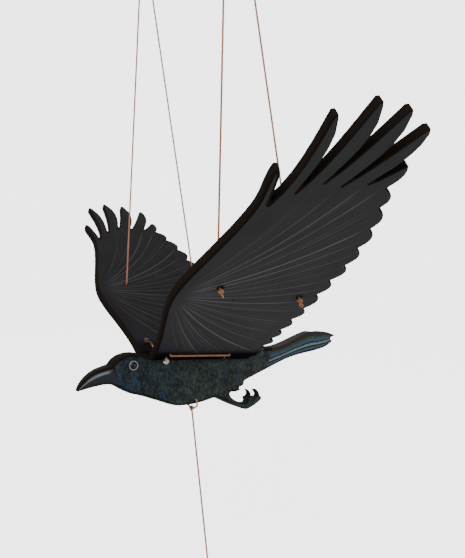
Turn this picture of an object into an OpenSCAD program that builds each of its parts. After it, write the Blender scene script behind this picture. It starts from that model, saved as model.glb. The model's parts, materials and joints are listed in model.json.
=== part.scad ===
// Flapping bird mobile: a carved raven with two cord-hinged board wings,
// hung by cords from a spreader bar and worked by a pull cord.
//
// Frame: +Z is up, the origin is the centre of the hanging ring, the beak
// points to -X and the left wing lies on the -Y side. All sizes are in mm.
//
// The bird itself is drawn level, about the midpoint between its two wing
// hinges, and then tipped by hang_pitch, because it hangs slightly beak up.

/* [Hanging] */
// Nose-up tilt of the hanging bird, in degrees
hang_pitch = 9.5; // [6:0.5:11]
// Height of the ring above the spreader bar
bar_drop = 85; // [80:5:200]
// Length of the spreader bar
bar_len = 212; // [200:1:260]
// Diameter of the spreader bar
bar_d = 8; // [7:0.5:10]
// Distance of each wing's cord loop from the middle of the bar
meet_y = 91.8; // [85:0.1:95]
// Height of the cord knots above the wing hinges, at right angles to the body
meet_z = 456.2; // [400:0.1:500]
// Distance of the cord knots behind the midpoint of the hinges
meet_x = -33.7; // [-40:0.1:-20]
// Diameter of every cord
cord_d = 1.8; // [1.6:0.1:2.2]
// Mean diameter of the hanging ring
ring_d = 24; // [20:1:40]
// Diameter of the ring's wire
ring_wire_d = 3; // [2.5:0.1:4]

/* [Body] */
// Thickness of the body board
body_t = 22; // [20:0.5:22.4]
// Thickness of the beak at its tip
beak_t = 9; // [6:0.5:12]
// Thickness of the tail at its end
tail_t = 13; // [10:0.5:18]
// Outside diameter of the rings round the eyes
eye_d = 8.6; // [7:0.1:10]
// Thickness of the foot
foot_t = 11; // [9:0.5:16]
// Thickness of the claws
claw_t = 5; // [4:0.5:8]
// Diameter of the pegs that lock the hinge cord in the body
peg_d = 6; // [5.5:0.1:6.5]

/* [Wings] */
// Raise of each wing above level, at rest
wing_raise = 36.25; // [30:0.25:40]
// Thickness of the wing boards
wing_t = 7.5; // [7:0.5:8]
// Distance of each wing's hinge axis from the middle of the body
hinge_y = 15.4; // [15.4:0.1:16.5]
// Half the distance between the two hinge cords of a wing
lace_x = 30.6; // [28:0.1:32]
// Distance of the lacing holes from the hinge axis
lace_v = 8; // [7.5:0.1:9]
// Distance of the suspension holes from the hinge axis
hang_v = 104.25; // [100:0.25:106]

/* [Pull cord] */
// Length of the pull cord
pull_len = 184; // [150:1:300]
// Diameter of the wooden pull weight
weight_d = 24; // [20:1:30]

/* [Hidden] */

$fn = 32;

LEFT = -1;
RIGHT = 1;

cord_r = cord_d / 2;
loop_drop = 13;
whipping_len = 14;
whipping_d = 6.4;
knot_d = 5.8;
tie_knot_d = 5.2;
cord_hole_d = 4.4;
lace_hole_d = 2.8;
cord_gap = 0.3;
// Room for a suspension cord to swing above its hole in the wing
swing_gap = 3.5;
bend_r = 1.6;
bridle_y = 32;
bridle_z = -44;

// Where the pull cord's hole crosses the belly, from the hinge midpoint
pull_hole = [4, 0, -41.6];
// Where the hinge cords cross the body, below the hinge axes
cross_z = -3.7;
peg_z = -5;
peg_x = -28.5;
peg_len = 8;
rear_cross_x = lace_x;
front_cross_x = -lace_x;
eye_pos = [-59.7, -8.6];
eye_ring_wire = 1.1;

// Suspension holes of the right wing, [along the body, out along the wing]
hang_holes = [[-28.5, hang_v + 3.25], [52.5, hang_v - 3.25]];
// Tie hole for the end of the hinge cord, beside its front lacing hole
tie_hole = [-35, 11.5];

// Outline of the wing board: x runs along the body, y out from the hinge.
// Leading edge, from the root to the tip of the first feather
leading_edge = [
    [-46.5, 0], [-47.5, 15], [-51, 34], [-55.5, 52], [-61, 74], [-63.3, 95],
    [-60, 119], [-53.5, 147], [-47.5, 175], [-45, 198], [-47.6, 216], [-49, 226]
];
// Long feathers: [tip, notch behind it, bow of the front edge, bow of the back edge]
long_feathers = [
    [[-46.3, 229.6], [-36.6, 200], 0, -0.5],
    [[-32.5, 275.5], [-23.2, 213.4], -4.5, -5],
    [[-9.6, 291], [-7.5, 225.8], -3, -7],
    [[14.8, 291.5], [7.7, 226], -2, -7],
    [[39, 282.5], [27.2, 232.2], -1.5, -5],
    [[46.6, 252.4], [45, 231.2], -1, -2.5]
];
// Notches between the short feathers of the trailing edge
short_notches = [
    [45, 231.2], [54, 212.6], [62.6, 191], [67, 168.5], [70, 147], [68.4, 126.3],
    [68.5, 106], [67.8, 84.5], [65, 66.8], [63, 49.5], [61.8, 34.5], [60, 22],
    [58.4, 2]
];
short_feather_h = 7.6;

// Outline of the body board, seen from its side: x back, y up.
// Top of the beak, then the crown and back, then the top of the tail
beak_top = [[-106.3, -31], [-104, -25], [-98.5, -18.3], [-90, -12.8], [-78.2, -9]];
back_line = [
    [-78.2, -9], [-74, -3.8], [-66.5, 0.3], [-57, 1.7], [-44, 0], [-10, -1],
    [45, 2.4], [88, 6.4], [99, 7.6], [111, 11.4], [124, 16.8], [136, 21.6], [143.5, 23.5], [151, 22.4]
];
tail_top = [[151, 22.4], [156, 23.7], [166, 23], [178, 19.6]];
tail_tips = [[169.5, 16.6], [173.8, 13]];
tail_under = [[173.8, 13], [163, 7], [148, 3.2], [128, -0.4], [108, -5.4], [84, -15], [57, -26.4]];
// Tufts of the leg, then the two claws of the foot
leg_tufts = [
    [57, -26.4], [58.3, -28.2], [57, -30.6], [54, -31.6], [48.4, -31.9],
    [54.4, -34.3], [51.6, -35.8], [47.6, -36.5]
];
foot_gap = [
    [41.4, -36.4], [43.6, -41.1], [48.9, -44.7], [56, -47.6], [62.8, -49], [65.7, -47.4], [64.6, -44],
    [66.8, -40.6], [66.6, -38], [64.2, -34.8]
];
front_claw = [[64.2, -34.8], [68.4, -36.8], [71.2, -40.4], [71.2, -43.8], [70.3, -48.4]];
rear_claw = [
    [74.2, -44], [76.8, -41.6], [76, -39], [73.6, -36.6], [77.2, -35.9], [80.8, -39], [82.2, -42.6], [82.6, -46]
];
belly = [
    [82.6, -46], [76.2, -50.6], [69, -54], [63.4, -55.1], [54.5, -52.5], [46.8, -49.6],
    [36, -44.9], [26.4, -41.3], [19, -42.6],
    [10, -44.8], [-4, -46.6], [-17, -46.2], [-34, -41], [-50, -36], [-62, -33],
    [-72, -27.8], [-80, -24.9], [-92, -26.9], [-106.3, -31]
];

// ---- curves ----

// One span of a smooth curve through b and c, at the fraction t
function span_point(a, b, c, d, t) =
    0.5 * (2 * b + (c - a) * t + (2 * a - 5 * b + 4 * c - d) * t * t
        + (3 * b - a - 3 * c + d) * t * t * t);

// A smooth open curve through the points of p, in steps per span
function smooth(p, steps = 3) = [
    for (i = [0 : len(p) - 2], s = [0 : steps - 1])
        span_point(p[max(i - 1, 0)], p[i], p[i + 1], p[min(i + 2, len(p) - 1)], s / steps)
];

// A bowed line from a towards b, fullest nearer to a: bow is its greatest offset to the right
function bowed(a, b, bow, steps = 6) =
    let (along = b - a, side = [along[1], -along[0]] / norm(along))
    [for (s = [0 : steps - 1]) a + along * s / steps + side * bow * sin(180 * pow(s / steps, 0.75))];

// The rounded end of one short feather, from notch a to notch b
function lobe(a, b, h, steps = 7) =
    [for (s = [0 : steps - 1]) a + (b - a) * s / steps + [h * sin(180 * pow(s / steps, 0.8)), 0]];

// A long feather's blunt tip, rounded off towards its back edge
function blunt(tip) = [tip + [-2.2, -0.6], tip + [0.6, 0.6], tip + [3, -2.8]];

function long_feather(i) =
    let (
        f = long_feathers[i],
        start = i == 0 ? last(leading_edge) : long_feathers[i - 1][1],
        tip = blunt(f[0])
    )
    concat(i == 0 ? [] : bowed(start, tip[0], -f[2]), [tip[0], tip[1]],
        bowed(tip[2], f[1], f[3]));

function last(p) = p[len(p) - 1];

wing_outline = concat(
    smooth(leading_edge),
    [for (i = [0 : len(long_feathers) - 1]) each long_feather(i)],
    [for (i = [0 : len(short_notches) - 2]) each lobe(short_notches[i], short_notches[i + 1], short_feather_h)],
    [last(short_notches), [58.4, 0]]
);

body_outline = concat(
    smooth(beak_top), smooth(back_line), smooth(tail_top), [last(tail_top)], tail_tips,
    smooth(tail_under), leg_tufts, smooth(foot_gap), smooth(front_claw),
    [last(front_claw)], smooth(rear_claw), smooth(belly)
);

// ---- placing ----

// Midpoint of the hinges, from the centre of the ring
function tipped(p) = [
    p[0] * cos(hang_pitch) + p[2] * sin(hang_pitch),
    p[1],
    p[2] * cos(hang_pitch) - p[0] * sin(hang_pitch)
];
knot_z = -bar_drop - loop_drop;
bird_origin = [0, 0, knot_z] - tipped([meet_x, 0, meet_z]);
function placed(p) = bird_origin + tipped(p);

module in_bird_frame() {
    translate(bird_origin) rotate([0, hang_pitch, 0]) children();
}

// Draws its children, made for the right side, on either side
module on_side(side) {
    if (side == RIGHT) children();
    else mirror([0, 1, 0]) children();
}

// The right wing's frame: x along the body, y out along the wing, z off its top
module in_wing_frame(side) {
    in_bird_frame() on_side(side) translate([0, hinge_y, 0]) rotate([wing_raise, 0, 0]) children();
}

function wing_point(u, v, n, side) = placed([
    u,
    side * (hinge_y + v * cos(wing_raise) - n * sin(wing_raise)),
    v * sin(wing_raise) + n * cos(wing_raise)
]);

// ---- small shapes ----

module rod(a, b, d) {
    along = b - a;
    translate(a)
        rotate([0, acos(along[2] / norm(along)), atan2(along[1], along[0])])
            cylinder(h = norm(along), d = d);
}

function unit(v) = v / norm(v);

// The turn of a cord at the point p, between the directions a and b
module bend(p, a, b, r) {
    turn = acos(a * b);
    axis = unit(cross(a, b));
    out = cross(a, axis);
    centre = p + unit(b - a) * r / cos(turn / 2);
    multmatrix([
        [out[0], a[0], axis[0], centre[0]],
        [out[1], a[1], axis[1], centre[1]],
        [out[2], a[2], axis[2], centre[2]],
        [0, 0, 0, 1]
    ]) rotate_extrude(angle = turn) translate([r, 0]) circle(d = cord_d + 0.1);
}

// A cord along straight runs with rounded turns of radius r between them
module cord(points, r = bend_r) {
    n = len(points);
    dirs = [for (i = [0 : n - 2]) unit(points[i + 1] - points[i])];
    // How much each point's turn takes off the runs beside it
    cuts = [for (i = [0 : n - 1]) i == 0 || i == n - 1 ? 0 : r * tan(acos(dirs[i - 1] * dirs[i]) / 2) - 0.15];
    for (i = [0 : n - 2])
        rod(points[i] + dirs[i] * cuts[i], points[i + 1] - dirs[i] * cuts[i + 1], cord_d);
    for (i = [1 : n - 2]) bend(points[i], dirs[i - 1], dirs[i], r);
}

module torus(d, wire_d, angle = 360) {
    rotate_extrude(angle = angle) translate([d / 2, 0]) circle(d = wire_d);
}

// ---- hanger ----

module hanging_ring() {
    color("silver") rotate([90, 0, 0]) torus(ring_d, ring_wire_d);
}

ring_inner_z = -ring_d / 2;
bar_z = -bar_drop;

loop_end_z = ring_inner_z - 9;
loop_whipping_len = 6;

// The cord's loop through the ring, closed by a whipping
module hanging_loop() {
    loop_r = ring_wire_d / 2 + cord_r + cord_gap;
    color("peru") {
        translate([0, 0, ring_inner_z]) rotate([90, 0, 90]) torus(2 * loop_r, cord_d + 0.1, 180);
        for (s = [-1, 1])
            cord([
                [0, s * loop_r, ring_inner_z + 0.15], [0, s * loop_r, ring_inner_z - 2],
                [0, s * 1.25, loop_end_z + 1]
            ]);
        translate([0, 0, loop_end_z - loop_whipping_len / 2]) cylinder(h = loop_whipping_len, d = 5);
    }
}

// The single cord between the loop and the bridle, which lets the bar turn
module hanging_cord() {
    color("peru")
        rod([0, 0, loop_end_z - loop_whipping_len / 2 - cord_gap], [0, 0, bridle_z + 4], cord_d);
}

// The knot that gathers the two legs of the bridle, and the legs
module bridle_knot() {
    under = bar_z - bar_d / 2;
    color("peru") {
        translate([0, 0, bridle_z - 4]) cylinder(h = 7.7, d = 6);
        for (s = [-1, 1]) {
            cord([[0, s * 1.4, bridle_z - 3], [0, s * bridle_y, bar_z + 12], [0, s * bridle_y, under - 3]]);
            translate([0, s * bridle_y, under - 3.3]) sphere(d = 6);
        }
    }
}

module spreader_bar() {
    color("burlywood") difference() {
        union() {
            translate([0, bar_len / 2, bar_z]) rotate([90, 0, 0]) cylinder(h = bar_len, d = bar_d);
            for (s = [-1, 1]) translate([0, s * bar_len / 2, bar_z]) sphere(d = bar_d + 4);
        }
        for (s = [-1, 1])
            translate([0, s * bridle_y, bar_z - bar_d]) cylinder(h = 2 * bar_d, d = lace_hole_d);
    }
}

// ---- suspension cords ----

// A loop over the bar, closed by the whipping that gathers a wing's two cords
module bar_loop(side) {
    loop_r = bar_d / 2 + cord_r + cord_gap;
    color("peru") on_side(side) translate([0, meet_y, 0]) {
        translate([0, 0, bar_z]) rotate([90, 0, 0]) torus(2 * loop_r, cord_d + 0.1, 180);
        for (s = [-1, 1])
            cord([[s * loop_r, 0, bar_z + 0.15], [s * loop_r, 0, bar_z - 3], [s * 1.4, 0, knot_z + 2]]);
        translate([0, 0, knot_z - whipping_len + 4]) cylinder(h = whipping_len, d = whipping_d);
    }
}

// One cord from below the whipping to just above its hole in the wing
module wing_cord(side, hole) {
    top = [0, side * meet_y, knot_z];
    mouth = wing_point(hole[0], hole[1], wing_t / 2, side);
    down = (mouth - top) / norm(mouth - top);
    color("peru") rod(top + down * whipping_len * 0.8, mouth - down * swing_gap, cord_d);
}

// The ends of a wing's two cords: through the board, and knotted below it
module cord_knots(side) {
    under = -wing_t / 2;
    color("peru") in_wing_frame(side) for (hole = hang_holes) translate([hole[0], hole[1], 0]) {
        translate([0, 0, under - 3]) cylinder(h = wing_t + 3, d = cord_d);
        translate([0, 0, under - knot_d / 2 - cord_gap]) sphere(d = knot_d);
        translate([0, 0, under - knot_d - 5]) cylinder(h = 7, d = cord_d);
    }
}

// ---- wings ----

module wing(side) {
    root_r = wing_t / 2;
    notch_v = 4.4;
    color("dimgray") in_wing_frame(side) difference() {
        union() {
            translate([0, 0, -root_r]) linear_extrude(wing_t) polygon(wing_outline);
            translate([wing_outline[0][0], 0, 0]) rotate([0, 90, 0])
                cylinder(h = last(wing_outline)[0] - wing_outline[0][0], r = root_r);
        }
        for (hole = hang_holes)
            translate([hole[0], hole[1], -wing_t]) cylinder(h = 2 * wing_t, d = cord_hole_d);
        translate([tie_hole[0], tie_hole[1], -wing_t]) cylinder(h = 2 * wing_t, d = lace_hole_d);
        for (s = [-1, 1]) {
            translate([s * lace_x, lace_v, -wing_t]) cylinder(h = 2 * wing_t, d = lace_hole_d);
            translate([s * lace_x - 2, -wing_t, -wing_t]) cube([4, wing_t + notch_v, 2 * wing_t]);
        }
    }
}

// The cord laced through one wing: in at the notches, over its top, down the
// lacing holes and along its underside, with its end knotted at the tie hole
module hinge_lacing(side) {
    over = wing_t / 2 + cord_r + 0.2;
    color("peru") in_wing_frame(side) {
        cord([
            [-lace_x, 1.5, 0.7], [-lace_x, 2.9, over], [-lace_x, lace_v, over],
            [-lace_x, lace_v, -over], [lace_x, lace_v, -over], [lace_x, lace_v, over],
            [lace_x, 2.9, over], [lace_x, 1.5, 0.7]
        ]);
        translate([tie_hole[0], tie_hole[1], wing_t / 2 + tie_knot_d * 0.45]) sphere(d = tie_knot_d);
        translate([tie_hole[0], tie_hole[1], -wing_t / 2]) cylinder(h = wing_t + 1, d = cord_d);
    }
}

// ---- body ----

// The body board seen from above, thinned towards the beak and the tail
module body_plan() {
    half = body_t / 2;
    polygon([
        [-110, -beak_t / 2], [-72, -half], [92, -half], [180, -tail_t / 2],
        [180, tail_t / 2], [92, half], [-72, half], [-110, beak_t / 2]
    ]);
}

// What is cut off one side of the board to thin the foot, and the claws above it
module foot_cut() {
    translate([0, 0, -60]) linear_extrude(23)
        polygon([[44, body_t / 2], [60, foot_t / 2], [90, foot_t / 2], [90, body_t], [44, body_t]]);
    translate([61, claw_t / 2, -43]) cube([29, body_t, 12]);
}

module body() {
    across = body_t + 2;
    color("darkslategray") in_bird_frame() difference() {
        intersection() {
            translate([0, across / 2, 0]) rotate([90, 0, 0]) linear_extrude(across) polygon(body_outline);
            translate([0, 0, -80]) linear_extrude(160) body_plan();
        }
        for (x = [front_cross_x, rear_cross_x])
            translate([x, across, cross_z]) rotate([90, 0, 0]) cylinder(h = 2 * across, d = lace_hole_d);
        translate([pull_hole[0], across, pull_hole[2]]) rotate([90, 0, 0])
            cylinder(h = 2 * across, d = lace_hole_d);
        for (side = [LEFT, RIGHT]) on_side(side) {
            foot_cut();
            translate([peg_x, body_t / 2 + 1, peg_z]) rotate([90, 0, 0])
                cylinder(h = peg_len + 1, d = peg_d + 0.1);
            translate([eye_pos[0], body_t / 2 + 1, eye_pos[1]]) rotate([90, 0, 0])
                cylinder(h = 3, d = eye_d - 2.6 + 0.1);
        }
    }
}

// A pale ring round the eye, standing just off the face
module eye_ring(side) {
    color("lightgray") in_bird_frame() on_side(side)
        translate([eye_pos[0], body_t / 2 + eye_ring_wire / 2 + 0.1, eye_pos[1]]) rotate([90, 0, 0])
            torus(eye_d - eye_ring_wire, eye_ring_wire);
}

// A domed bead let into the head
module eye_bead(side) {
    bead_d = eye_d - 2.6;
    color("black") in_bird_frame() on_side(side)
        translate([eye_pos[0], body_t / 2, eye_pos[1]]) {
            translate([0, -1.8, 0]) rotate([-90, 0, 0]) cylinder(h = 1.8, d = bead_d);
            intersection() {
                translate([0, -bead_d / 2 + 1.8, 0]) sphere(d = bead_d);
                translate([-bead_d, -0.3, -bead_d]) cube(2 * bead_d);
            }
        }
}

// A hinge cord through the body, turned up at both ends to the hinge axes
module cross_cord(x) {
    flank = body_t / 2 + 0.9;
    color("peru") in_bird_frame()
        cord([
            [x, -hinge_y + 0.8, -0.8], [x, -flank, cross_z], [x, flank, cross_z],
            [x, hinge_y - 0.8, -0.8]
        ]);
}

// A short dowel that locks the hinge cord in its hole
module cord_peg(side) {
    color("bisque") in_bird_frame() on_side(side) difference() {
        translate([peg_x, body_t / 2 + 0.8, peg_z]) rotate([90, 0, 0]) cylinder(h = peg_len, d = peg_d);
        translate([front_cross_x, body_t, cross_z]) rotate([90, 0, 0])
            cylinder(h = 2 * body_t, d = lace_hole_d);
    }
}

// ---- pull cord ----

pull_at = placed(pull_hole);
pull_knot_z = -10;
loop_knot_z = pull_at[2] + pull_knot_z;
weight_z = loop_knot_z - pull_len;

// The loop through the belly, tied off below it
module pull_loop() {
    flank = body_t / 2 + cord_r + 0.3;
    color("peru") translate(pull_at) {
        cord([
            [0, -1.3, pull_knot_z + 0.8], [0, -flank, -6.4], [0, -flank, 0], [0, flank, 0],
            [0, flank, -6.4], [0, 1.3, pull_knot_z + 0.8]
        ]);
        translate([0, 0, pull_knot_z]) sphere(d = knot_d);
    }
}

module pull_cord() {
    color("peru") rod(
        [pull_at[0], 0, loop_knot_z - knot_d / 2 - 0.1],
        [pull_at[0], 0, weight_z - weight_d / 2 - 6], cord_d);
}

// A turned wooden bead with a bore for the cord
module pull_weight() {
    color("burlywood") translate([pull_at[0], 0, weight_z]) difference() {
        union() {
            sphere(d = weight_d);
            cylinder(h = weight_d / 2 + 3, d = 10);
        }
        translate([0, 0, -weight_d]) cylinder(h = 2 * weight_d, d = lace_hole_d);
    }
}

module weight_knot() {
    color("peru") translate([pull_at[0], 0, weight_z - weight_d / 2 - 2.6]) difference() {
        sphere(d = 6);
        translate([0, 0, -6]) cylinder(h = 12, d = cord_d + 0.1);
    }
}

hanging_ring();
hanging_loop();
hanging_cord();
bridle_knot();
spreader_bar();
bar_loop(LEFT);  // left_bar_loop
wing_cord(LEFT, hang_holes[0]);  // left_front_cord
wing_cord(LEFT, hang_holes[1]);  // left_rear_cord
bar_loop(RIGHT);  // right_bar_loop
wing_cord(RIGHT, hang_holes[0]);  // right_front_cord
wing_cord(RIGHT, hang_holes[1]);  // right_rear_cord
wing(LEFT);  // left_wing
cord_knots(LEFT);  // left_cord_knots
hinge_lacing(LEFT);  // left_hinge_lacing
wing(RIGHT);  // right_wing
cord_knots(RIGHT);  // right_cord_knots
hinge_lacing(RIGHT);  // right_hinge_lacing
body();
eye_ring(LEFT);  // left_eye_ring
eye_bead(LEFT);  // left_eye_bead
eye_ring(RIGHT);  // right_eye_ring
eye_bead(RIGHT);  // right_eye_bead
cross_cord(front_cross_x);  // front_cross_cord
cross_cord(rear_cross_x);  // rear_cross_cord
cord_peg(LEFT);  // left_cord_peg
cord_peg(RIGHT);  // right_cord_peg
pull_loop();
pull_cord();
pull_weight();
weight_knot();
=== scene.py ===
"""Looks of the flapping raven mobile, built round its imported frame.

Finished pieces are in metres, in the row's frame. Boards and cords are shaped in
millimetres in a local frame: BIRD lies level with the body, WING lies in the right
wing's board, and ROW is the row's own frame. The left side mirrors the right.
"""

import json
import math

import bmesh
import bpy
import numpy as np
from mathutils import Matrix, Vector


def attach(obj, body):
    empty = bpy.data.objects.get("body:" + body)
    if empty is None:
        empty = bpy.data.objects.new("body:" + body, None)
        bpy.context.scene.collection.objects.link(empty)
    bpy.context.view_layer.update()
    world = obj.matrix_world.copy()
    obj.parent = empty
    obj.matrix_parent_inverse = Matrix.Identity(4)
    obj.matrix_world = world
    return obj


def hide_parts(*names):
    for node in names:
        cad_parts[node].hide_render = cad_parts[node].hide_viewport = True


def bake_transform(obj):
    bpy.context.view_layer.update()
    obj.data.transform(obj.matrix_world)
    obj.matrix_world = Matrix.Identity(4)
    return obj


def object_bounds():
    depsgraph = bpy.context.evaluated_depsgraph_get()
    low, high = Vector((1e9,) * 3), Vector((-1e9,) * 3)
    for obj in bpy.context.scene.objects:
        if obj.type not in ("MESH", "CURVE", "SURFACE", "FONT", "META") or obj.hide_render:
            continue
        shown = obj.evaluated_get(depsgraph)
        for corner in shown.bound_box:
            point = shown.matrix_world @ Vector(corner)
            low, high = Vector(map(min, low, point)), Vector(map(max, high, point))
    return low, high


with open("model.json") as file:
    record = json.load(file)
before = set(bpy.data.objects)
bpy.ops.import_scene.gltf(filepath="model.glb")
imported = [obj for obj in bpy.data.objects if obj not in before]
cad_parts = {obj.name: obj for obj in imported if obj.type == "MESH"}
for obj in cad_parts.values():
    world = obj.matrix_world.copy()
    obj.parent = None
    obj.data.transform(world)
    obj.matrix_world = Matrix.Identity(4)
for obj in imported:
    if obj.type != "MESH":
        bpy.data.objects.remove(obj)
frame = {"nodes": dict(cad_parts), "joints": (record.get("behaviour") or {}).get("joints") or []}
CAD_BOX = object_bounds()

# ---- frames ----

MM = 0.001
SIDEWAYS = Vector((0, 1, 0))
JOINTS = {joint["name"]: joint for joint in frame["joints"]}
FORE_AFT = Vector(JOINTS["wing_flap"]["axis"]).normalized()


def pivot(joint):
    return Vector(JOINTS[joint]["pos_m"])


def local_frame(origin, x, y):
    """Matrix from millimetres along x, y and their cross product to the row's metres."""
    turned = Matrix((x, y, x.cross(y))).transposed().to_4x4()
    return Matrix.Translation(origin) @ turned @ Matrix.Scale(MM, 4)


def face_normal(node):
    """Upward normal of a board's flat face, which is its largest."""
    normal = max(frame["nodes"][node].data.polygons, key=lambda face: face.area).normal.copy()
    return normal if normal.z > 0 else -normal


ROW = Matrix.Scale(MM, 4)
BIRD = local_frame((pivot("wing_flap") + pivot("right_wing_flap")) / 2, FORE_AFT, SIDEWAYS)
WING = local_frame(pivot("right_wing_flap"), FORE_AFT, face_normal("right_wing").cross(FORE_AFT))
SIDES = {"right": Matrix.Identity(4), "left": Matrix.Scale(-1, 4, SIDEWAYS)}


def node_points(node, place):
    """A CAD node's vertices in the millimetres of a local frame."""
    mesh = frame["nodes"][node].data
    flat = np.empty(3 * len(mesh.vertices), np.float32)
    mesh.vertices.foreach_get("co", flat)
    turn = np.array(place.inverted(), float)
    return flat.reshape(-1, 3).astype(float) @ turn[:3, :3].T + turn[:3, 3]


def node_box(node, place):
    points = node_points(node, place)
    return points.min(0), points.max(0)


# ---- meshes ----


def piece(name, points, faces, place, material, attributes=()):
    """A finished, parentless mesh from points in the millimetres of a local frame."""
    if place.determinant() < 0:
        faces = [face[::-1] for face in faces]
    mesh = bpy.data.meshes.new(name)
    mesh.from_pydata(points.tolist(), [], [list(face) for face in faces])
    mesh.transform(place)
    for label, values in attributes:
        layer = mesh.attributes.new(label, "FLOAT_VECTOR", "POINT")
        layer.data.foreach_set("vector", np.asarray(values, np.float32).ravel())
    mesh.polygons.foreach_set("use_smooth", [True] * len(mesh.polygons))
    mesh.materials.append(material)
    mesh.update()
    thing = bpy.data.objects.new(name, mesh)
    bpy.context.scene.collection.objects.link(thing)
    return thing


def merged(parts):
    """Several (points, faces) parts as one."""
    points, faces, start = [], [], 0
    for part_points, part_faces in parts:
        points.append(part_points)
        faces += [[corner + start for corner in face] for face in part_faces]
        start += len(part_points)
    return np.concatenate(points), faces


def even_mesh(node, place, voxel, smoothing=2):
    """A CAD node as an even, closed mesh, with its tight corners smoothed a little."""
    mesh = frame["nodes"][node].data.copy()
    mesh.transform(place.inverted())
    shape = bmesh.new()
    shape.from_mesh(mesh)
    bmesh.ops.remove_doubles(shape, verts=shape.verts, dist=1e-4)
    shape.to_mesh(mesh)
    shape.free()
    thing = bpy.data.objects.new(node + "_even", mesh)
    bpy.context.scene.collection.objects.link(thing)
    remesh = thing.modifiers.new("even", "REMESH")
    remesh.mode = "VOXEL"
    remesh.voxel_size = voxel
    if smoothing:
        thing.modifiers.new("smooth", "SMOOTH").iterations = smoothing
    bpy.context.view_layer.update()
    made = thing.evaluated_get(bpy.context.evaluated_depsgraph_get()).to_mesh()
    points = np.empty(3 * len(made.vertices), np.float32)
    made.vertices.foreach_get("co", points)
    corners = np.empty(len(made.loops), np.int32)
    made.loops.foreach_get("vertex_index", corners)
    bpy.data.objects.remove(thing)
    return points.reshape(-1, 3).astype(float), corners.reshape(-1, 4)


def section(node, place, axis, level):
    """Largest closed line in which a CAD node meets a plane across an axis, in the two other axes."""
    mesh = frame["nodes"][node].data.copy()
    mesh.transform(place.inverted())
    shape = bmesh.new()
    shape.from_mesh(mesh)
    bmesh.ops.remove_doubles(shape, verts=shape.verts, dist=1e-3)
    normal = Vector([float(i == axis) for i in range(3)])
    everything = shape.verts[:] + shape.edges[:] + shape.faces[:]
    cut = bmesh.ops.bisect_plane(shape, geom=everything, plane_co=normal * level, plane_no=normal)
    shape.verts.index_update()
    ahead = {}
    for edge in cut["geom_cut"]:
        if isinstance(edge, bmesh.types.BMEdge):
            one, other = (vert.index for vert in edge.verts)
            ahead.setdefault(one, []).append(other)
            ahead.setdefault(other, []).append(one)
    loops, seen = [], set()
    for start in ahead:
        if start in seen:
            continue
        loop, here = [], start
        while here is not None:
            seen.add(here)
            loop.append(here)
            here = next((n for n in ahead[here] if n not in seen), None)
        loops.append(loop)
    shape.verts.ensure_lookup_table()
    keep = [i for i in range(3) if i != axis]
    found = [np.array([shape.verts[i].co for i in loop])[:, keep] for loop in loops]
    shape.free()
    return max(found, key=lambda loop: np.ptp(loop, axis=0).sum())


def edge_distance(points, loop):
    """Each point's distance in from a closed outline, and the direction inward."""
    ends = np.roll(loop, -1, axis=0)
    area = np.sum(loop[:, 0] * ends[:, 1] - ends[:, 0] * loop[:, 1])
    best = np.full(len(points), 1e9)
    inward = np.zeros((len(points), 2))
    for a, b in zip(loop, ends):
        along = b - a
        length = np.hypot(*along)
        if length < 1e-6:
            continue
        share = np.clip((points - a) @ along / length**2, 0, 1)
        gap = points - a - share[:, None] * along
        distance = np.hypot(gap[:, 0], gap[:, 1])
        normal = np.array((-along[1], along[0])) / length * math.copysign(1, area)
        depth = gap @ normal
        nearer = distance < best
        best[nearer] = distance[nearer]
        clear = (distance > 0.4) & (depth > 0)
        way = np.where(clear[:, None], gap / np.maximum(distance, 1e-9)[:, None], normal)
        inward[nearer] = way[nearer]
    return best, inward


def round_edges(points, axis, loop, half, radius):
    """Rounds the edges of a board between its outline and its two faces.

    A point in the square corner of the section moves to the same place in a quarter disc."""
    keep = [i for i in range(3) if i != axis]
    distance, inward = edge_distance(points[:, keep], loop)
    radius = np.minimum(radius, half)
    off = points[:, axis]
    p = np.clip(1 - distance / radius, 0, 1)
    q = np.clip((np.abs(off) - (half - radius)) / radius, 0, 1)
    side = radius * (1 - p * np.sqrt(1 - q * q / 2))
    top = half - radius + radius * q * np.sqrt(1 - p * p / 2)
    new = points.copy()
    near = distance < radius
    shift = np.where(near, side - distance, 0)
    new[:, keep] += inward * shift[:, None]
    new[:, axis] = np.where(q > 0, np.sign(off) * top, off)
    return new, distance


# ---- cords ----


def smooth_path(points, step, softness):
    """Points at an even step along a line, with its corners softened over a length."""
    points = np.array(points, float)
    lengths = np.concatenate([[0], np.cumsum(np.linalg.norm(np.diff(points, axis=0), axis=1))])
    at = np.linspace(0, lengths[-1], max(4, int(lengths[-1] / step) + 1))
    path = np.stack([np.interp(at, lengths, points[:, i]) for i in range(3)], axis=1)
    reach = min(int(softness / step / 2), len(path) - 2)
    if reach < 1:
        return path
    head = 2 * path[0] - path[reach:0:-1]
    tail = 2 * path[-1] - path[-2 : -reach - 2 : -1]
    padded = np.concatenate([head, path, tail])
    window = np.hanning(2 * reach + 3)[1:-1]
    window /= window.sum()
    return np.stack([np.convolve(padded[:, i], window, "valid") for i in range(3)], axis=1)


def bands(rows, sides, closed=False):
    """Faces between rings of points that follow one another, and back to the first if closed."""
    faces = []
    for i in range(rows if closed else rows - 1):
        j = (i + 1) % rows
        for k in range(sides):
            n = (k + 1) % sides
            faces.append([i * sides + k, i * sides + n, j * sides + n, j * sides + k])
    return faces


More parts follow.
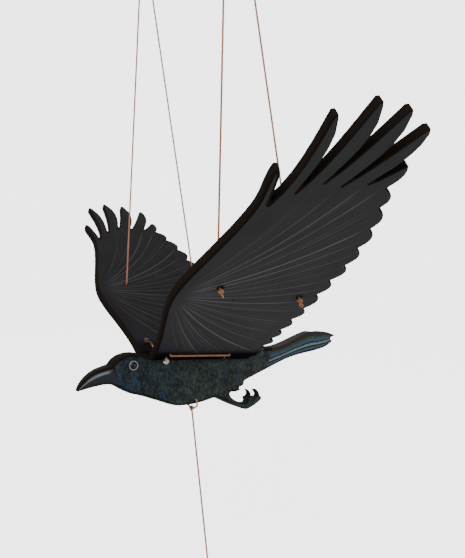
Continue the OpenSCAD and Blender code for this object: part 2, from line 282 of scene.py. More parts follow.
def tube(path, radius, sides, closed=False):
    """A round tube along a path. The radius is one number or one for each point."""
    tangent = np.gradient(path, axis=0)
    if closed:
        tangent = np.roll(path, -1, axis=0) - np.roll(path, 1, axis=0)
    tangent /= np.linalg.norm(tangent, axis=1)[:, None]
    side = transported(tangent)
    up = np.cross(tangent, side)
    angle = np.linspace(0, 2 * math.pi, sides, endpoint=False)
    ring = np.cos(angle)[None, :, None] * side[:, None] + np.sin(angle)[None, :, None] * up[:, None]
    points = path[:, None] + ring * np.broadcast_to(radius, len(path))[:, None, None]
    faces = bands(len(path), sides, closed)
    if not closed:
        faces.append(list(range(sides))[::-1])
        faces.append([(len(path) - 1) * sides + k for k in range(sides)])
    return points.reshape(-1, 3), faces


def transported(tangent):
    """A side direction at each point, turning as little as possible along the path."""
    side = np.zeros_like(tangent)
    first = np.cross(tangent[0], (0.3, 0.2, 0.93))
    if np.linalg.norm(first) < 0.3:
        first = np.cross(tangent[0], (1.0, 0.1, 0))
    side[0] = first / np.linalg.norm(first)
    for i in range(1, len(tangent)):
        turned = side[i - 1] - side[i - 1] @ tangent[i] * tangent[i]
        side[i] = turned / np.linalg.norm(turned)
    return side


CORD_R = float(np.ptp(node_points("hanging_cord", ROW)[:, 0]) / 2)
# Length in which a strand goes once round the cord
CORD_PITCH = 6.2
STRANDS = 3
# Sizes across the knots: wing boards, the rear ones' second knot, belly, bridle and weight
WING_KNOT, SECOND_KNOT, BELLY_KNOT, BRIDLE_KNOT, STOP_KNOT = 5.4, 5.0, 5.6, 6.6, 6.8
# Radius of the thin cord of the whippings
WHIPPING_WIRE = 0.42


def twisted(points, radius=CORD_R, pitch=CORD_PITCH, softness=3.0, sides=7):
    """Three strands laid round a line, as one closed part each."""
    path = smooth_path(points, pitch / 12, softness)
    tangent = np.gradient(path, axis=0)
    tangent /= np.linalg.norm(tangent, axis=1)[:, None]
    side = transported(tangent)
    up = np.cross(tangent, side)
    along = np.concatenate([[0], np.cumsum(np.linalg.norm(np.diff(path, axis=0), axis=1))])
    ends = np.minimum(along, along[-1] - along)
    thick = radius * 0.5 * np.sqrt(np.clip(ends / (0.6 * radius), 0.15, 1))
    parts = []
    for strand in range(STRANDS):
        phase = 2 * math.pi * (strand / STRANDS + along / pitch)
        offset = np.cos(phase)[:, None] * side + np.sin(phase)[:, None] * up
        parts.append(tube(path + offset * radius * 0.52, thick, sides))
    return merged(parts)


def knot(centre, axis, across, radius=CORD_R):
    """An overhand knot drawn tight: a trefoil of cord round an axis."""
    z = Vector(axis).normalized()
    x = z.orthogonal().normalized()
    turn = np.array(Matrix((x, z.cross(x), z)).transposed())
    t = np.linspace(0, 2 * math.pi, 73)[:-1]
    scale = (across / 2 - radius) / 3
    flat = np.stack([np.sin(t) + 2 * np.sin(2 * t), np.cos(t) - 2 * np.cos(2 * t), -1.5 * np.sin(3 * t)], 1)
    path = flat * scale @ turn.T + np.array(centre)
    return tube(path, radius, 10, closed=True)


def coil(centre, axis, inner, length, wire):
    """A close winding of thin cord round an axis, tapering into its ends."""
    z = Vector(axis).normalized()
    x = z.orthogonal().normalized()
    turn = np.array(Matrix((x, z.cross(x), z)).transposed())
    turns = length / (1.9 * wire)
    t = np.linspace(0, turns, int(turns * 20))
    out = inner + wire * 0.9
    angle = 2 * math.pi * t
    spiral = np.stack([out * np.cos(angle), out * np.sin(angle), (t / turns - 0.5) * length], 1)
    return tube(spiral @ turn.T + np.array(centre), wire, 8)


# ---- materials ----


class Paint:
    """Builds one material out of short node calls."""

    def __init__(self, name, **inputs):
        self.material = bpy.data.materials.new(name)
        self.material.use_nodes = True
        self.tree = self.material.node_tree
        self.shader = self.tree.nodes["Principled BSDF"]
        self.finish(**inputs)

    def finish(self, **inputs):
        """Sets the surface's inputs; a name's underscores stand for spaces."""
        for label, value in inputs.items():
            self.put(self.shader.inputs[label.replace("_", " ")], value)

    def put(self, socket, value):
        if isinstance(value, bpy.types.NodeSocket):
            self.tree.links.new(value, socket)
        elif isinstance(value, tuple) and socket.type == "RGBA":
            socket.default_value = (*value[:3], 1)
        else:
            socket.default_value = value

    def node(self, kind, inputs, **settings):
        made = self.tree.nodes.new("ShaderNode" + kind)
        for label, value in settings.items():
            setattr(made, label, value)
        for key, value in inputs.items():
            self.put(made.inputs[key], value)
        return made

    def attribute(self, name):
        return self.node("Attribute", {}, attribute_name=name).outputs["Vector"]

    def split(self, vector):
        return tuple(self.node("SeparateXYZ", {0: vector}).outputs)

    def join(self, x, y, z):
        return self.node("CombineXYZ", {0: x, 1: y, 2: z}).outputs[0]

    def math(self, operation, *values):
        return self.node("Math", dict(enumerate(values)), operation=operation).outputs[0]

    def ramp(self, value, low, high, to_low=0.0, to_high=1.0):
        """Smooth step from to_low at low to to_high at high."""
        if low > high:
            low, high, to_low, to_high = high, low, to_high, to_low
        inputs = {0: value, 1: low, 2: high, 3: to_low, 4: to_high}
        return self.node("MapRange", inputs, interpolation_type="SMOOTHSTEP").outputs[0]

    def stretched(self, vector, x, y, z):
        return self.node("VectorMath", {0: vector, 1: (x, y, z)}, operation="MULTIPLY").outputs[0]

    def distance(self, vector, point):
        return self.node("VectorMath", {0: vector, 1: point}, operation="DISTANCE").outputs["Value"]

    def noise(self, vector, scale=1.0, detail=3.0, roughness=0.55):
        inputs = {"Vector": vector, "Scale": scale, "Detail": detail, "Roughness": roughness}
        return self.node("TexNoise", inputs).outputs["Fac"]

    def mix(self, share, one, other):
        made = self.node("Mix", {0: share}, data_type="RGBA", clamp_factor=True)
        self.put(made.inputs[6], one)
        self.put(made.inputs[7], other)
        return made.outputs[2]

    def bump(self, height, distance):
        inputs = {"Height": height, "Distance": distance, "Strength": 1.0}
        self.finish(Normal=self.node("Bump", inputs).outputs[0])

    def object_mm(self):
        """The point's place in the row's frame, in millimetres."""
        where = self.node("TexCoord", {}).outputs["Object"]
        return self.stretched(where, 1000, 1000, 1000)


# Quill lines of a wing: start angle at the wrist in degrees, brightness, half width in mm
QUILLS = [
    (66, 0.4, 0.5), (56, 0.5, 0.5), (49, 0.45, 0.5), (43, 0.8, 0.6), (38, 0.75, 0.6),
    (31.5, 0.45, 0.5), (25, 1.0, 0.75), (20, 0.8, 0.65), (14, 0.45, 0.5), (8.5, 0.6, 0.55),
    (2.5, 0.55, 0.5), (-3, 0.85, 0.6), (-10, 0.85, 0.6), (-17, 0.45, 0.5), (-25, 0.55, 0.5),
    (-33, 0.5, 0.5), (-40, 0.55, 0.5), (-47, 0.95, 0.7), (-55, 0.5, 0.5), (-64, 0.55, 0.5),
    (-72, 0.4, 0.5),
]
# Angle between the finest strokes
HAIR_SPACING = 2.15
# Painted shade round the suspension holes and in two small pits, all on the underside
HOLE_SHADE_SPOTS = [(-28.5, 108.6, 4.6), (52.5, 102.1, 4.6), (-9.3, 93.9, 1.5), (-44.6, 18.3, 1.3)]


def wing_paint():
    """Charcoal stain on a carved board, with pale quill strokes fanning from the wrist."""
    p = Paint("wing_paint")
    place = p.attribute("place")
    u, v, n = p.split(place)
    reach, angle, edge = p.split(p.attribute("fan"))
    arc = p.math("MULTIPLY", reach, math.pi / 180)
    streak = p.noise(p.join(p.math("MULTIPLY", angle, 0.9), p.math("MULTIPLY", reach, 0.012), 0.0), 1.0)
    lines = 0.0
    for start, strength, width in QUILLS:
        away = p.math("MULTIPLY", p.math("ABSOLUTE", p.math("SUBTRACT", angle, start)), arc)
        line = p.ramp(away, width * 1.5, width * 0.1, 0.0, strength)
        lines = p.math("MAXIMUM", lines, line)
    cell = p.math("DIVIDE", angle, HAIR_SPACING)
    seed = p.math("FLOOR", cell)
    off = p.math("ABSOLUTE", p.math("SUBTRACT", p.math("FRACT", cell), 0.5))
    away = p.math("MULTIPLY", p.math("MULTIPLY", off, HAIR_SPACING), arc)
    chance = p.node("TexWhiteNoise", {"W": seed}, noise_dimensions="1D").outputs["Value"]
    hair = p.math("MULTIPLY", p.ramp(away, 0.55, 0.05), p.ramp(chance, 0.1, 1.0, 0.03, 0.30))
    lines = p.math("MAXIMUM", lines, hair)
    along = p.math("MULTIPLY", p.ramp(reach, 3, 26, 0.15, 1.0), p.ramp(edge, 1.0, 24, 0.0, 1.0))
    fade = p.math("MULTIPLY", along, p.ramp(streak, 0.3, 0.68, 0.25, 1.0))
    lines = p.math("MULTIPLY", lines, fade)

    grain = p.noise(p.stretched(place, 0.5, 0.03, 0.5), 1.0, 4.0)
    cloud = p.noise(p.stretched(place, 0.022, 0.022, 0.022), 1.0, 2.0)
    stain = p.mix(grain, (0.0235, 0.024, 0.0255), (0.037, 0.037, 0.0385))
    stain = p.mix(p.ramp(cloud, 0.42, 0.7, 0.0, 0.5), stain, (0.021, 0.021, 0.026))
    upper = p.mix(grain, (0.0032, 0.0020, 0.0022), (0.0090, 0.0062, 0.0068))
    upper = p.mix(p.ramp(cloud, 0.4, 0.65, 0.0, 0.6), upper, (0.0085, 0.0082, 0.0125))
    stain = p.mix(p.ramp(n, -1.0, 1.0), stain, upper)
    colour = p.mix(lines, stain, p.mix(p.ramp(n, -1.0, 1.0), (0.19, 0.195, 0.205), (0.085, 0.085, 0.095)))
    # Painted shade along the wing root, where the board meets the body; strongest on the underside
    root_shade = p.math("MULTIPLY", p.ramp(v, 19, 7), p.ramp(cloud, 0.2, 0.5, 0.85, 1.0))
    root_shade = p.math("MULTIPLY", root_shade, p.ramp(n, 1.0, -1.0, 0.55, 1.0))
    blue = p.math("MULTIPLY", p.ramp(v, 8, 16), p.ramp(v, 30, 17))
    blue = p.math("MULTIPLY", blue, p.ramp(grain, 0.35, 0.65, 0.0, 0.5))
    colour = p.mix(blue, colour, (0.010, 0.012, 0.030))
    colour = p.mix(root_shade, colour, (0.0018, 0.0018, 0.0028))
    # Painted shade round the suspension holes and in the two pits
    for spot_u, spot_v, size in HOLE_SHADE_SPOTS:
        away = p.distance(place, (spot_u, spot_v, -4.0))
        colour = p.mix(p.ramp(away, size, size * 0.5), colour, (0.0015, 0.0012, 0.0012))
    bevel = p.ramp(u, -28, -42, 0.0, 1.3)
    wall = p.ramp(p.math("SUBTRACT", edge, bevel), 1.5, 0.8)
    colour = p.mix(wall, colour, p.mix(grain, (0.008, 0.0055, 0.0042), (0.020, 0.0135, 0.010)))
    # Pale flecks on the trailing feather tips: partly chipped paint, partly a painted highlight on their
    # bevels; the same noise also roughens the bump
    chips_and_glints = p.noise(p.stretched(place, 0.7, 0.7, 0.7), 1.0, 3.0)
    tip_highlight = p.math("MULTIPLY", p.ramp(edge, 2.8, 1.3), p.ramp(edge, 0.6, 1.2))
    tip_highlight = p.math("MULTIPLY", tip_highlight, p.ramp(p.noise(p.stretched(place, 0.05, 0.05, 0.05)), 0.42, 0.6))
    tip_highlight = p.math("MULTIPLY", tip_highlight, p.ramp(u, 25, 50))
    colour = p.mix(p.math("MULTIPLY", tip_highlight, p.ramp(chips_and_glints, 0.46, 0.66, 0.1, 0.6)), colour, (0.16, 0.18, 0.22))
    height = p.math("ADD", p.math("MULTIPLY", grain, 0.6), p.math("MULTIPLY", chips_and_glints, 0.25))
    p.bump(p.math("SUBTRACT", height, p.math("MULTIPLY", lines, 0.4)), 0.00016)
    dull = p.math("MAXIMUM", wall, root_shade)
    p.finish(
        Base_Color=colour,
        Roughness=p.math("ADD", p.ramp(grain, 0.3, 0.7, 0.48, 0.62), p.math("MULTIPLY", dull, 0.25)),
        Specular_IOR_Level=p.ramp(dull, 0, 1, 0.2, 0.04),
    )
    return p.material


# Bands across the tail from its top edge: where each starts, and its colour
TAIL_BANDS = [
    (0.00, (0.034, 0.028, 0.023)), (0.24, (0.046, 0.066, 0.050)), (0.38, (0.034, 0.095, 0.22)),
    (0.49, (0.014, 0.027, 0.020)), (0.58, (0.22, 0.26, 0.235)), (0.68, (0.012, 0.023, 0.018)),
    (0.78, (0.036, 0.10, 0.20)), (0.87, (0.034, 0.050, 0.038)),
]


# Middle of the beak's rounded base, behind which the feathers' paint starts
BEAK_BASE = (-84.0, 0.0, -19.0)


def body_paint():
    """Dabbed dark green-grey paint with blue and pale stipples, darker at the edges, with painted shade along
    the lower edges and painted highlights on the beak.
    """
    p = Paint("body_paint")
    place = p.attribute("place")
    x, _, z = p.split(place)
    edge, down, over = p.split(p.attribute("relief"))
    broad = p.noise(p.stretched(place, 0.09, 0.09, 0.07), 1.0, 4.0, 0.6)
    dabs = p.noise(p.stretched(place, 0.40, 0.35, 0.27), 1.0, 5.0, 0.7)
    fine = p.noise(p.stretched(place, 1.1, 1.0, 0.8), 1.0, 4.0, 0.65)
    blues = p.noise(p.stretched(place, 0.08, 0.08, 0.065), 1.7, 5.0, 0.65)
    cool = p.ramp(x, 5, -45)
    base = p.mix(cool, (0.0075, 0.0115, 0.0095), (0.0035, 0.0060, 0.0080))
    light = p.mix(cool, (0.026, 0.037, 0.032), (0.014, 0.023, 0.028))
    colour = p.mix(p.ramp(broad, 0.38, 0.64), base, light)
    pale = p.mix(cool, (0.060, 0.082, 0.074), (0.036, 0.055, 0.062))
    colour = p.mix(p.ramp(dabs, 0.50, 0.66, 0.0, 0.8), colour, pale)
    colour = p.mix(p.ramp(dabs, 0.48, 0.36, 0.0, 0.85), colour, (0.0016, 0.0026, 0.0032))
    tint = p.math("MULTIPLY", p.ramp(blues, 0.54, 0.66), p.ramp(fine, 0.34, 0.62, 0.1, 0.85))
    colour = p.mix(tint, colour, (0.010, 0.043, 0.115))
    colour = p.mix(p.math("MULTIPLY", p.ramp(fine, 0.57, 0.68), 0.5), colour, (0.12, 0.155, 0.155))

    stripe = TAIL_BANDS[0][1]
    wavy = p.math("ADD", down, p.ramp(dabs, 0.3, 0.7, -0.02, 0.02))
    for start, tint in TAIL_BANDS[1:]:
        stripe = p.mix(p.ramp(wavy, start - 0.02, start + 0.02), stripe, tint)
    stripe = p.mix(p.ramp(fine, 0.35, 0.65, 0.0, 0.4), stripe, (0.012, 0.022, 0.022))
    tail = p.math("MULTIPLY", over, p.ramp(dabs, 0.25, 0.5, 0.8, 1.0))
    colour = p.mix(tail, colour, stripe)

    base = p.distance(p.join(x, 0.0, z), BEAK_BASE)
    beak = p.math("MAXIMUM", p.ramp(base, 10.0, 8.9), p.ramp(x, BEAK_BASE[0] + 0.6, BEAK_BASE[0] - 0.6))
    horn = p.mix(fine, (0.006, 0.008, 0.0115), (0.012, 0.0155, 0.022))
    # Painted highlight: a pale streak along the beak's upper flank, lower towards the tip
    ridge = p.math("SUBTRACT", down, p.ramp(x, -82, -112, 0.0, 0.2))
    shine = p.math("MULTIPLY", p.ramp(ridge, 0.20, 0.28), p.ramp(ridge, 0.44, 0.32))
    shine = p.math("MULTIPLY", shine, p.math("MULTIPLY", p.ramp(x, -116, -106), p.ramp(x, -78.5, -82)))
    horn = p.mix(p.math("MULTIPLY", shine, p.ramp(fine, 0.2, 0.6, 0.35, 0.8)), horn, (0.20, 0.225, 0.26))
    # Painted highlight: a thin pale line just under the dark top of the beak, along its rounded edge
    rim = p.math("MULTIPLY", p.ramp(down, 0.17, 0.225), p.ramp(down, 0.29, 0.235))
    horn = p.mix(p.math("MULTIPLY", rim, 0.6), horn, (0.10, 0.10, 0.10))
    horn = p.mix(p.ramp(down, 0.22, 0.16), horn, (0.0035, 0.0022, 0.0015))
    colour = p.mix(beak, colour, horn)

    upper = p.math("MULTIPLY", p.ramp(edge, 2.7, 1.3), p.ramp(down, 0.5, 0.3))
    upper = p.math("MULTIPLY", upper, p.ramp(over, 0, 1, 0.93, 0.3))
    colour = p.mix(upper, colour, p.mix(dabs, (0.005, 0.0036, 0.0028), (0.017, 0.0115, 0.0085)))
    # Painted shade along the lower edges of the board, on their downward-facing rounding
    lower = p.math("MULTIPLY", p.ramp(edge, 3.2, 1.2), p.ramp(down, 0.5, 0.75))
    colour = p.mix(p.math("MULTIPLY", lower, 0.8), colour, (0.0020, 0.0026, 0.0030))
    foot = p.math("MULTIPLY", p.ramp(x, 43, 50), p.ramp(z, -36.5, -38))
    colour = p.mix(p.math("MULTIPLY", foot, p.ramp(edge, 0.6, 1.8, 0.2, 0.7)), colour, (0.026, 0.036, 0.035))
    claw = p.math("MULTIPLY", p.ramp(x, 60.5, 62), p.ramp(z, -44.0, -42.4))
    claw = p.math("MULTIPLY", claw, p.ramp(z, -30, -32.5))
    colour = p.mix(p.math("MULTIPLY", claw, 0.96), colour, (0.0022, 0.002, 0.0022))
    height = p.math("ADD", p.math("MULTIPLY", dabs, 1.0), p.math("MULTIPLY", fine, 0.5))
    p.bump(p.math("MULTIPLY", height, p.ramp(beak, 0, 1, 1.0, 0.15)), 0.0005)
    p.finish(
        Base_Color=colour,
        Roughness=p.math("ADD", p.ramp(dabs, 0.3, 0.7, 0.42, 0.58), p.math("MULTIPLY", upper, 0.25)),
        Specular_IOR_Level=p.math("MULTIPLY", p.ramp(beak, 0, 1, 0.16, 0.34), p.ramp(upper, 0, 1, 1.0, 0.15)),
    )
    return p.material


def cord_material():
    """Copper-brown waxed cord with fine fibres, darkened by painted shade round the tie knots at the wing
    roots.
    """
    p = Paint("cord", Specular_IOR_Level=0.45, Sheen_Weight=0.25, Sheen_Roughness=0.4)
    place = p.object_mm()
    fibre = p.noise(p.stretched(place, 2.6, 2.6, 1.1), 1.0, 4.0, 0.7)
    length = p.noise(p.stretched(place, 0.05, 0.05, 0.05), 1.0, 2.0)
    colour = p.mix(p.ramp(fibre, 0.3, 0.7), (0.26, 0.085, 0.036), (0.60, 0.26, 0.135))
    colour = p.mix(p.ramp(length, 0.45, 0.7, 0.0, 0.3), colour, (0.66, 0.36, 0.24))
    # Painted shade round the tie knots, set by the attribute on the hinge cords
    knot_shade = p.split(p.attribute("stain"))[0]
    colour = p.mix(knot_shade, colour, p.mix(fibre, (0.006, 0.004, 0.002), (0.060, 0.034, 0.016)))
    p.bump(fibre, 0.0002)
    p.finish(Base_Color=colour, Roughness=p.ramp(fibre, 0.3, 0.7, 0.42, 0.62))
    return p.material


def wood_material(name, dark, pale, along, ring_scale=0.35):
    """Bare or oiled wood: growth rings drawn out along the grain, and fine pores."""
    p = Paint(name, Specular_IOR_Level=0.4)
    place = p.object_mm()
    squeeze = [1.0, 1.0, 1.0]
    squeeze[along] = 0.08
    drawn = p.stretched(place, *squeeze)
    warp = p.noise(drawn, 0.25, 2.0)
    wave = {"Vector": drawn, "Scale": ring_scale, "Distortion": 5.0, "Detail": 3.0}
    rings = p.node("TexWave", wave).outputs["Fac"]
    pores = p.noise(p.stretched(drawn, 3.5, 3.5, 3.5), 1.0, 3.0)
    colour = p.mix(p.math("MULTIPLY", rings, 0.7), pale, dark)
    colour = p.mix(p.ramp(pores, 0.55, 0.75, 0.0, 0.6), colour, tuple(c * 0.55 for c in dark))
    colour = p.mix(p.ramp(warp, 0.3, 0.7, 0.0, 0.35), colour, pale)
    p.bump(p.math("ADD", p.math("MULTIPLY", pores, 0.6), p.math("MULTIPLY", rings, 0.4)), 0.00015)
    p.finish(Base_Color=colour, Roughness=p.ramp(pores, 0.3, 0.7, 0.42, 0.6))
    return p.material


def steel_material():
    """Drawn steel wire: dull, with fine scratches and a few darker spots."""
    p = Paint("ring_steel", Metallic=1.0)
    place = p.object_mm()
    scratch = p.noise(p.stretched(place, 0.6, 6, 6), 1.0, 4.0)
    spots = p.noise(place, 0.5, 3.0)
    colour = p.mix(p.ramp(spots, 0.5, 0.72), (0.60, 0.60, 0.58), (0.30, 0.29, 0.27))
    p.bump(scratch, 0.00008)
    p.finish(Base_Color=colour, Roughness=p.ramp(scratch, 0.3, 0.7, 0.26, 0.46))
    return p.material


def eye_ring_material():
    """Pale blue-grey paint, worn thin in places."""
    p = Paint("eye_ring_paint", Specular_IOR_Level=0.5)
    place = p.object_mm()
    wear = p.noise(place, 1.3, 4.0, 0.65)
    colour = p.mix(p.ramp(wear, 0.48, 0.66, 0.0, 0.8), (0.20, 0.25, 0.275), (0.07, 0.09, 0.10))
    p.bump(wear, 0.0002)
    p.finish(Base_Color=colour, Roughness=p.ramp(wear, 0.3, 0.7, 0.35, 0.6))
    return p.material


def eye_material():
    """Glossy black bead with a faint brown depth and fine scuffs."""
    p = Paint("eye_black", Specular_IOR_Level=0.3, Coat_Weight=0.15, Coat_Roughness=0.1)
    place = p.object_mm()
    cloud = p.noise(place, 0.6, 2.0)
    scuff = p.noise(p.stretched(place, 5, 5, 1.5), 1.0, 3.0)
    p.bump(scuff, 0.00003)
    p.finish(
        Base_Color=p.mix(cloud, (0.003, 0.003, 0.003), (0.008, 0.006, 0.005)),
        Roughness=p.ramp(scuff, 0.3, 0.75, 0.16, 0.3),
    )
    return p.material


MATERIALS = {
    "wing_paint": wing_paint(),
    "body_paint": body_paint(),
    "cord": cord_material(),
    "ring_steel": steel_material(),
    "eye_ring_paint": eye_ring_material(),
    "eye_black": eye_material(),
    "plain_wood": wood_material("plain_wood", (0.30, 0.17, 0.075), (0.56, 0.38, 0.21), along=1),
    "peg_wood": wood_material("peg_wood", (0.62, 0.46, 0.38), (0.84, 0.74, 0.68), along=1, ring_scale=0.8),
}


def finished(name, part, place, slot, attributes=()):
    return piece(name, part[0], part[1], place, MATERIALS[slot], attributes)


def settle(thing, body, *nodes):
    """Lets a piece ride on a body, in place of the CAD nodes that it shows."""
    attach(thing, body)
    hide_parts(*nodes)


# ---- wings ----

WING_VOXEL = 0.72
WING_EDGE_R = 1.3
# How far a quill bends, in degrees per millimetre from the wrist
QUILL_CURL = 0.085
# Depth of the creases along the quills
CREASE = 0.22


def wing_fan(points, wrist):
    """Distance from the wrist, and the angle at which a curled quill through the point starts."""
    du, dv = points[:, 0] - wrist[0], points[:, 1] - wrist[1]
    reach = np.hypot(du, dv)
    return reach, np.degrees(np.arctan2(dv, du)) - QUILL_CURL * reach


def feather_swell(angle):
    """0 on each quill line, 1 halfway between two of them."""
    starts = np.array(sorted(start for start, _, _ in QUILLS))
    after = np.clip(np.searchsorted(starts, angle), 1, len(starts) - 1)
    low, high = starts[after - 1], starts[after]
    share = np.clip((angle - low) / (high - low), 0, 1)
    return np.sqrt(4 * share * (1 - share))


def carved_wing():
    """The right wing board: rounded edges, and vanes swelling between the quill lines."""
    points, faces = even_mesh("right_wing", WING, WING_VOXEL)
    half = node_points("right_wing", WING)[:, 2].max()
    edge_loop = section("right_wing", WING, 2, 0.3)
    wrist = edge_loop[edge_loop[:, 0].argmin()]
    at_root = edge_loop[:, 1] < 1.0
    board = edge_loop.copy()
    board[at_root, 1] = -40.0
    shaped, edge = round_edges(points, 2, board, np.full(len(points), half), WING_EDGE_R)
    reach, angle = wing_fan(points, wrist)
    face = np.abs(shaped[:, 2]) > half - 0.6
    strength = np.clip(reach / 50, 0, 1) * np.clip((edge - 1.5) / 4, 0, 1)
    strength *= np.clip((points[:, 1] - 6) / 12, 0, 1)
    dip = CREASE * (1 - feather_swell(angle)) * strength
    shaped[:, 2] -= np.where(face, np.sign(shaped[:, 2]) * dip, 0)
    return shaped, faces, reach, angle, edge


wing_points, wing_faces, wing_reach, wing_angle, wing_edge = carved_wing()
for side, mirror in SIDES.items():
    labels = (
        ("place", wing_points),
        ("fan", np.stack([wing_reach, wing_angle, wing_edge], axis=1)),
    )
    part = (wing_points, wing_faces.tolist())
    wing = finished(side + "_wing_board", part, mirror @ WING, "wing_paint", labels)
    settle(wing, side + "_wing_board", side + "_wing")

# ---- body ----

BODY_VOXEL = 0.75
# How far the edges are rounded: of the board, its foot and its claws
BODY_EDGE_R, FOOT_EDGE_R, CLAW_EDGE_R = 3.4, 1.8, 1.6
# Where the foot and its claws are thinner than the board, in the bird's frame
FOOT_TOP, FOOT_FRONT = -37.0, (44.0, 60.0)
CLAW_TOP, CLAW_FOOT, CLAW_FRONT = -31.0, -43.0, 61.0
# Where the tail's step and its grooves run: the grooves are shares of its depth
TAIL_START = 88.0
TAIL_GROOVES = (0.24, 0.53, 0.75)
# Depths carved into the flank: tail step, tail grooves, beak step and the line along the beak
TAIL_STEP, GROOVE, BEAK_STEP, BEAK_LINE = 0.8, 0.75, 0.9, 0.5


def span_at(loop, xs):
    """Lowest and highest points of a closed outline at each x."""
    low, high = np.full(len(xs), np.inf), np.full(len(xs), -np.inf)
    for a, b in zip(loop, np.roll(loop, -1, axis=0)):
        if a[0] == b[0]:
            continue
        left, right = (a, b) if a[0] < b[0] else (b, a)
        inside = (xs >= left[0]) & (xs <= right[0])
        z = left[1] + (xs - left[0]) / (right[0] - left[0]) * (right[1] - left[1])
        low = np.where(inside, np.minimum(low, z), low)
        high = np.where(inside, np.maximum(high, z), high)
    return low, high


def board_half(points):
    """Half the board's thickness at each point, and how far its edges are rounded there."""
    x, z = points[:, 0], points[:, 2]
    bins = np.linspace(x.min(), x.max(), 72)
    widest = np.array([np.abs(points[np.abs(x - at) < 3, 1]).max() for at in bins])
    half = np.interp(x, bins, widest)
    corners = np.abs(node_points("body", BIRD))
    below = node_points("body", BIRD)[:, 2]
    pad = corners[(corners[:, 0] > CLAW_FRONT) & (below < CLAW_FOOT - 1), 1].max()
    hooks = corners[(corners[:, 0] > CLAW_FRONT) & (below > CLAW_FOOT + 1) & (below < CLAW_TOP - 3), 1].max()
    foot = (x > FOOT_FRONT[0]) & (z < FOOT_TOP)
    claws = (x > CLAW_FRONT) & (z < CLAW_TOP) & (z > CLAW_FOOT)
    half = np.where(foot, np.interp(x, FOOT_FRONT, (half.max(), pad)), half)
    half = np.where(claws, hooks, half)
    radius = np.full(len(x), BODY_EDGE_R)
    radius = np.where(foot, np.interp(x, FOOT_FRONT, (BODY_EDGE_R, FOOT_EDGE_R)), radius)
    return half, np.where(claws, CLAW_EDGE_R, radius)


def carved_body():
    """The body board: rounded edges, a stepped and grooved tail and a stepped beak."""
    points, faces = even_mesh("body", BIRD, BODY_VOXEL)
    loop = section("body", BIRD, 1, 0.3)
    half, radius = board_half(points)
    shaped, edge = round_edges(points, 1, loop, half, radius)
    x, z = points[:, 0], points[:, 2]
    low, high = span_at(loop, np.clip(x, loop[:, 0].min() + 0.5, loop[:, 0].max() - 2.5))
    down = np.clip((high - z) / np.maximum(high - low, 1), 0, 1)
    flank = np.clip(np.abs(points[:, 1]) - (half - 1.5), 0, 1)
    step = np.clip((x - TAIL_START - 0.35 * z) / 1.6 + 0.5, 0, 1)
    dip = TAIL_STEP * step
    for groove in TAIL_GROOVES:
        away = (down - groove) * (high - low)
        dip += GROOVE * np.exp(-((away / 1.1) ** 2)) * step
    base = np.hypot(x - BEAK_BASE[0], z - BEAK_BASE[2])
    beak = np.clip(np.maximum(9.6 - base, BEAK_BASE[0] - x) / 1.1 + 0.5, 0, 1)
    dip += BEAK_STEP * beak
    ridge = (down - 0.2) * (high - low)
    dip += BEAK_LINE * np.exp(-((ridge / 0.8) ** 2)) * beak
    shaped[:, 1] -= np.sign(points[:, 1]) * dip * flank
    return shaped, faces, np.stack([edge, down, step], axis=1)


body_points, body_faces, body_relief = carved_body()
labels = (("place", body_points), ("relief", body_relief))
body = finished("raven_body", (body_points, body_faces.tolist()), BIRD, "body_paint", labels)
settle(body, "bird_body", "body")


def lathed(profile, sides=40):
    """A closed turned part round the y axis, from (radius, y) points between its two poles."""
    rings = [(r, y) for r, y in profile if r > 0]
    angle = np.linspace(0, 2 * math.pi, sides, endpoint=False)
    points = [(r * math.cos(a), y, r * math.sin(a)) for r, y in rings for a in angle]
    points += [(0, profile[0][1], 0), (0, profile[-1][1], 0)]
    first, last = len(points) - 2, len(points) - 1
    faces = bands(len(rings), sides)
    end = (len(rings) - 1) * sides
    for k in range(sides):
        n = (k + 1) % sides
        faces.append([first, n, k])
        faces.append([last, end + k, end + n])
    return np.array(points, float), faces


def dome(radius, height, steps=8):
    """Profile of a low dome of that radius and height, from its rim to its pole."""
    turns = np.linspace(0, math.pi / 2, steps)
    return [(radius * math.cos(t), height * math.sin(t)) for t in turns[:-1]] + [(0, height)]


for side, mirror in SIDES.items():
    low, high = node_box("right_eye_ring", BIRD)
    centre = (low + high) / 2
    ring_r, wire = (high[0] - low[0]) / 2, (high[1] - low[1]) / 2
    around = np.linspace(0, 2 * math.pi, 61)[:-1]
    wobble = 1 + 0.015 * np.sin(3 * around + 1)
    middle_r = ring_r - wire
    path = np.stack([np.cos(around) * middle_r * wobble, 0 * around, np.sin(around) * middle_r], 1)
    part = tube(path + centre - (0, 0.1, 0), wire, 12, closed=True)
    ring = finished(side + "_eye_rim", part, mirror @ BIRD, "eye_ring_paint")
    settle(ring, "bird_body", side + "_eye_ring")
    low, high = node_box("right_eye_bead", BIRD)
    bead_r = (high[0] - low[0]) / 2
    depth = high[1] - low[1]
    profile = [(0, 0), (bead_r * 0.96, 0)] + [(r, y + depth - 1.7) for r, y in dome(bead_r, 1.7)]
    bead_points, bead_faces = lathed(profile)
    bead_points += ((low[0] + high[0]) / 2, low[1], (low[2] + high[2]) / 2)
    bead = finished(side + "_eye", (bead_points, bead_faces), mirror @ BIRD, "eye_black")
    settle(bead, "bird_body", side + "_eye_bead")
    peg_points, peg_faces = even_mesh("right_cord_peg", BIRD, 0.22, 6)
    peg = finished(side + "_peg", (peg_points, peg_faces.tolist()), mirror @ BIRD, "peg_wood")
    settle(peg, "bird_body", side + "_cord_peg")

# ---- hanger and bar ----

low, high = node_box("hanging_ring", ROW)
wire = (high[1] - low[1]) / 2
ring_r = (high[0] - low[0]) / 2 - wire
around = np.linspace(0, 2 * math.pi, 97)[:-1]
seam = 1 - 0.10 * np.exp(-(((around - 2.2) / 0.05) ** 2))
path = np.stack([np.cos(around) * ring_r, 0 * around, np.sin(around) * ring_r], 1)
steel_ring = finished("steel_ring", tube(path, wire * seam, 20, closed=True), ROW, "ring_steel")
settle(steel_ring, "hanger", "hanging_ring")

